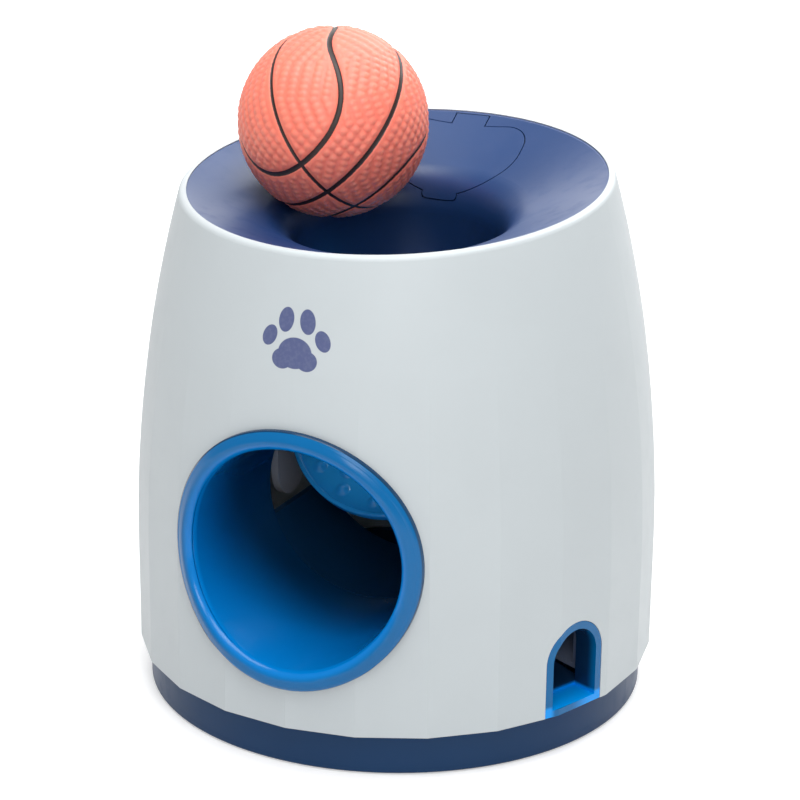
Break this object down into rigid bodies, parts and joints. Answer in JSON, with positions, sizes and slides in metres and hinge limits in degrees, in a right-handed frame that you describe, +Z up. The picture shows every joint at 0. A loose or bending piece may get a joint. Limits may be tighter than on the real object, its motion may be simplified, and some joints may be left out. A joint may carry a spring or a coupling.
{
  "type": "dog puzzle toy",
  "caption": "Ball-drop treat dispenser for dogs: a ball dropped in the funnel swings a hidden paddle, which turns a dosing drum, then rolls out of a tunnel while treats slide to an outlet",
  "frame": {"origin": "on the floor, on the axis of the round body", "axes": "+Z up, -Y out of the exit tunnel, +Y towards the treat hatch, +X towards the treat outlet's side"},
  "size_m": [0.1712, 0.1735, 0.2157],
  "materials": {
    "shell_white": "satin injection-moulded cool white plastic",
    "navy_gloss": "polished navy plastic",
    "navy_base": "satin navy plastic",
    "blue_gloss": "polished bright blue plastic",
    "inner_blue": "satin blue plastic",
    "inner_black": "satin black plastic",
    "inner_grey": "satin grey plastic",
    "gear_acetal": "natural low-friction plastic",
    "rubber_black": "soft black rubber",
    "rubber_grey": "soft dark rubber",
    "ball_vinyl": "pebbled coral vinyl with dark grooves",
    "steel": "bright turned steel",
    "screw_steel": "zinc-plated steel"
  },
  "bodies": {
    "housing": {"outer_shell": "shell_white", "base_plate": "navy_base", "funnel_top": "navy_gloss", "exit_tunnel": "blue_gloss", "tunnel_ring": "inner_black", "treat_outlet": "blue_gloss", "treat_chute": "inner_blue", "ball_ramp": "inner_black", "side_guard_left": "inner_grey", "side_guard_right": "inner_grey", "stop_bumpers": "rubber_black", "non_slip_feet": "rubber_grey", "lid_hinge_pin": "steel", "base_screws": "screw_steel", "funnel_screws": "screw_steel", "ramp_screws": "screw_steel", "guard_screws": "screw_steel", "hopper_screws": "screw_steel", "drum_cover_screws": "screw_steel", "axle_bush_left": "gear_acetal", "axle_bush_right": "gear_acetal", "treat_hopper": "inner_grey", "drum_cover": "inner_grey"},
    "paddle": {"trigger_paddle": "blue_gloss", "paddle_axle": "steel", "drive_sector": "gear_acetal", "counterweight_arm_left": "inner_black", "counterweight_arm_right": "inner_black", "counterweight_left": "steel", "counterweight_right": "steel", "axle_clips": "steel"},
    "dosing": {"dosing_drum": "inner_grey", "drum_axle": "steel", "drum_pinion": "gear_acetal"},
    "lid": {"treat_lid": "navy_gloss"},
    "ball_body": {"ball": "ball_vinyl"}
  },
  "joints": [
    {"name": "paddle_swing", "type": "hinge", "parent": "housing", "child": "paddle", "pos_m": [0, 0.03901, 0.12202], "axis": [1, 0, 0], "range_deg": [0, 36]},
    {"name": "drum_spin", "type": "hinge", "parent": "housing", "child": "dosing", "pos_m": [0, 0.05598, 0.09608], "axis": [1, 0, 0], "range_deg": [-150, 0]},
    {"name": "lid_hinge", "type": "hinge", "parent": "housing", "child": "lid", "pos_m": [0, 0.062, 0.17455], "axis": [-1, 0, 0], "range_deg": [0, 90]},
    {"name": "ball_lift", "type": "slide", "parent": "housing", "child": "ball_body", "axis": [0, 0, 1], "range_m": [0, 0.12]}
  ],
  "couplings": [
    {"joint": "drum_spin", "follows": "paddle_swing", "ratio": -4.1667}
  ]
}
